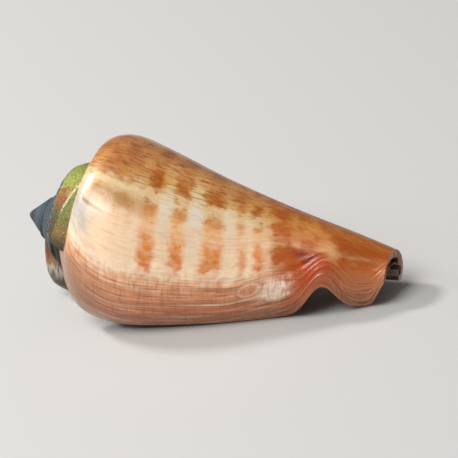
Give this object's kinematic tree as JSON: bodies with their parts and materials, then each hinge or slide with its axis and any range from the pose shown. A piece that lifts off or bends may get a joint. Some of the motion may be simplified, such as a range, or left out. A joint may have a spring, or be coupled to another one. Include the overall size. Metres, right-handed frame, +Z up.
{
  "type": "strawberry conch shell",
  "caption": "Empty strawberry conch shell with a low spire, a cone-shaped last whorl, a notched outer lip and a long narrow opening underneath.",
  "frame": {"origin": "on the ground, under the middle of the shell's bounding box", "axes": "+Z up as the shell rests on its opening, +X along the shell from the spire towards the front tip, -Y towards the outer lip"},
  "size_m": [0.0522, 0.0258, 0.0234],
  "materials": {
    "shell": "gloss"
  },
  "bodies": {
    "root": {"shell": "shell"}
  },
  "joints": []
}
